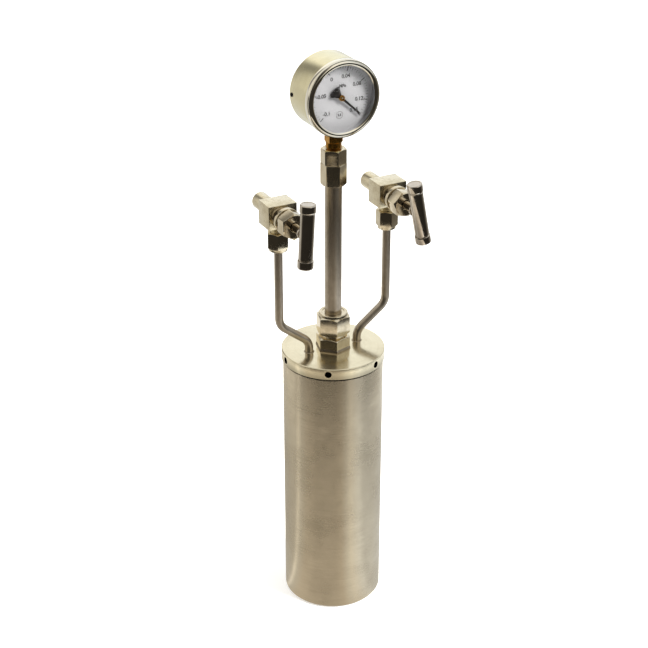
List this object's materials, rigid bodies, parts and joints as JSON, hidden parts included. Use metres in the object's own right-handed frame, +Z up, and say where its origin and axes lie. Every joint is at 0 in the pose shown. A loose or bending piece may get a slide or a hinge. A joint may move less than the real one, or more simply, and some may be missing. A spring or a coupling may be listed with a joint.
{
  "type": "resin pressure pot",
  "caption": "Small stainless pressure pot: turned cylinder with a screw-in lid, dial gauge on a riser tube and needle valves with T-bar handles.",
  "frame": {"origin": "centre of the vessel's underside, on the surface it stands on", "axes": "+Z up along the vessel's axis; -Y the side the dial and the valve handles face; +X to the reader's right"},
  "size_m": [0.1072, 0.0867, 0.4253],
  "materials": {
    "vessel_steel": "brushed along the circumference, warm grey",
    "lid_steel": "turned face, fine satin",
    "fitting_steel": "machined, slightly reflective",
    "tube_steel": "drawn tube, satin",
    "case_steel": "fine brushed, pale warm",
    "valve_steel": "cast and machined, satin",
    "polished_steel": "polished",
    "chrome": "mirror bright",
    "brass": "machined",
    "copper": "annealed",
    "rubber": "matt",
    "ptfe": "waxy white",
    "black_paint": "satin",
    "dial_white": "matt white enamel",
    "glass": "clear"
  },
  "bodies": {
    "vessel": {"vessel_wall": "vessel_steel", "vessel_base": "vessel_steel"},
    "seal": {"lid_seal": "rubber"},
    "head": {"lid": "lid_steel", "riser_fitting": "fitting_steel", "riser_nut": "fitting_steel", "riser_ferrule": "polished_steel", "riser_tube": "tube_steel", "riser_coupling": "fitting_steel", "gauge_adapter": "fitting_steel", "gauge_washer": "copper", "gauge_socket": "brass", "gauge_case": "case_steel", "gauge_back": "case_steel", "case_screw_left": "black_paint", "case_screw_right": "black_paint", "bezel": "chrome", "gauge_window": "glass", "window_spacer": "dial_white", "dial": "dial_white", "bourdon_tube": "brass", "bourdon_tip": "brass", "movement_back_plate": "brass", "movement_front_plate": "brass", "hairspring": "brass", "left_valve_block": "valve_steel", "left_outlet_stub": "valve_steel", "left_bonnet": "polished_steel", "left_lock_ring": "valve_steel", "left_packing": "ptfe", "left_gland_nut": "valve_steel", "left_tube_nut": "valve_steel", "left_ferrule": "polished_steel", "left_side_tube": "tube_steel", "right_valve_block": "valve_steel", "right_outlet_stub": "valve_steel", "right_bonnet": "polished_steel", "right_lock_ring": "valve_steel", "right_packing": "ptfe", "right_gland_nut": "valve_steel", "right_tube_nut": "valve_steel", "right_ferrule": "polished_steel", "right_side_tube": "tube_steel"},
    "pointer": {"pointer": "black_paint", "pointer_boss": "brass", "pinion_arbor": "brass"},
    "sector": {"sector_gear": "brass"},
    "link": {"link": "brass"},
    "left_needle": {"left_needle": "polished_steel"},
    "left_handle": {"left_stem": "polished_steel", "left_handle": "polished_steel"},
    "right_needle": {"right_needle": "polished_steel"},
    "right_handle": {"right_stem": "polished_steel", "right_handle": "polished_steel"}
  },
  "joints": [
    {"name": "lid_lift", "type": "slide", "parent": "vessel", "child": "seal", "axis": [0, 0, 1], "range_m": [0, 0.012]},
    {"name": "lid_turn", "type": "hinge", "parent": "seal", "child": "head", "pos_m": [0, 0, 0.1992], "axis": [0, 0, 1], "range_deg": [0, 2160]},
    {"name": "pointer_turn", "type": "hinge", "parent": "head", "child": "pointer", "pos_m": [0, -0.0112, 0.39821], "axis": [0, -1, 0], "range_deg": [-5.5, 270.5]},
    {"name": "sector_swing", "type": "hinge", "parent": "head", "child": "sector", "pos_m": [0, -0.002, 0.38391], "axis": [0, -1, 0], "range_deg": [-27, 0.5]},
    {"name": "link_pivot", "type": "hinge", "parent": "sector", "child": "link", "pos_m": [-0.00262, -0.0033, 0.37965], "axis": [0, -1, 0], "range_deg": [-1, 27.5]},
    {"name": "left_needle_slide", "type": "slide", "parent": "head", "child": "left_needle", "axis": [0, -1, 0], "range_m": [0, 0.004]},
    {"name": "left_handle_turn", "type": "hinge", "parent": "left_needle", "child": "left_handle", "pos_m": [-0.043, -0.0437, 0.319], "axis": [0, -1, 0], "range_deg": [0, 1440]},
    {"name": "right_needle_slide", "type": "slide", "parent": "head", "child": "right_needle", "axis": [0, -1, 0], "range_m": [0, 0.004]},
    {"name": "right_handle_turn", "type": "hinge", "parent": "right_needle", "child": "right_handle", "pos_m": [0.043, -0.0437, 0.319], "axis": [0, -1, 0], "range_deg": [0, 1440]}
  ],
  "couplings": [
    {"joint": "lid_lift", "follows": "lid_turn", "m_per_rad": 0.0003183},
    {"joint": "pointer_turn", "follows": "sector_swing", "ratio": -10},
    {"joint": "link_pivot", "follows": "sector_swing", "ratio": -1},
    {"joint": "left_needle_slide", "follows": "left_handle_turn", "m_per_rad": 0.00015915},
    {"joint": "right_needle_slide", "follows": "right_handle_turn", "m_per_rad": 0.00015915}
  ]
}
